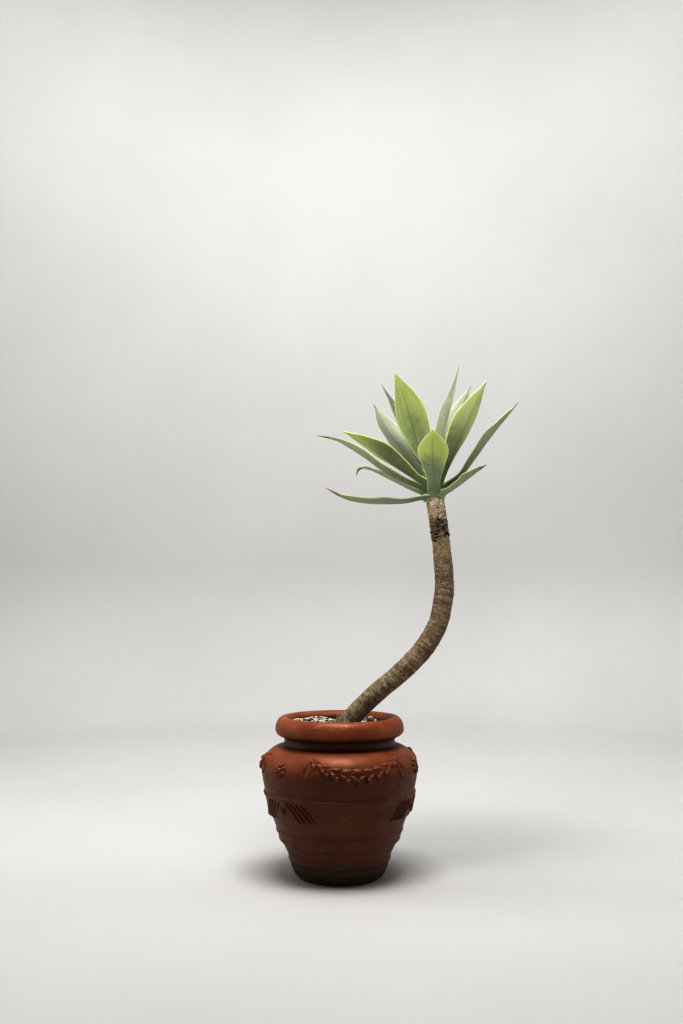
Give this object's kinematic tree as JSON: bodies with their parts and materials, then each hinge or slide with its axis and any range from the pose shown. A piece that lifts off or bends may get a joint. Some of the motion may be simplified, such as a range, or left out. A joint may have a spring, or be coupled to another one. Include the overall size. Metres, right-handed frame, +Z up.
{
  "type": "potted agave",
  "caption": "Rosette of broad pointed succulent leaves on a long bent bare stem, planted in a festooned terracotta urn topped with pale gravel.",
  "frame": {"origin": "centre of the pot's foot ring, on the surface that the pot stands on", "axes": "+Z up along the pot's axis; the stem leans out towards +X; -Y faces the viewer of the picture"},
  "size_m": [0.5165, 0.3625, 0.9941],
  "materials": {
    "terracotta": "matte",
    "soil": "matte",
    "gravel": "matte",
    "bark": "matte",
    "leaf": "satin",
    "bud": "satin"
  },
  "bodies": {
    "root": {"pot": "terracotta", "soil": "soil", "gravel": "gravel", "stem": "bark", "leaf_left_low": "leaf", "leaf_back_low": "leaf", "leaf_left_curled": "leaf", "leaf_right_low": "leaf", "leaf_back_right": "leaf", "leaf_front": "leaf", "leaf_left_long": "leaf", "leaf_right_long": "leaf", "leaf_left_bright": "leaf", "leaf_left_pale": "leaf", "leaf_right_bright": "leaf", "leaf_right_pale": "leaf", "leaf_left_thin": "leaf", "leaf_upright_left": "leaf", "leaf_upright_right": "leaf", "leaf_spear": "bud"}
  },
  "joints": []
}
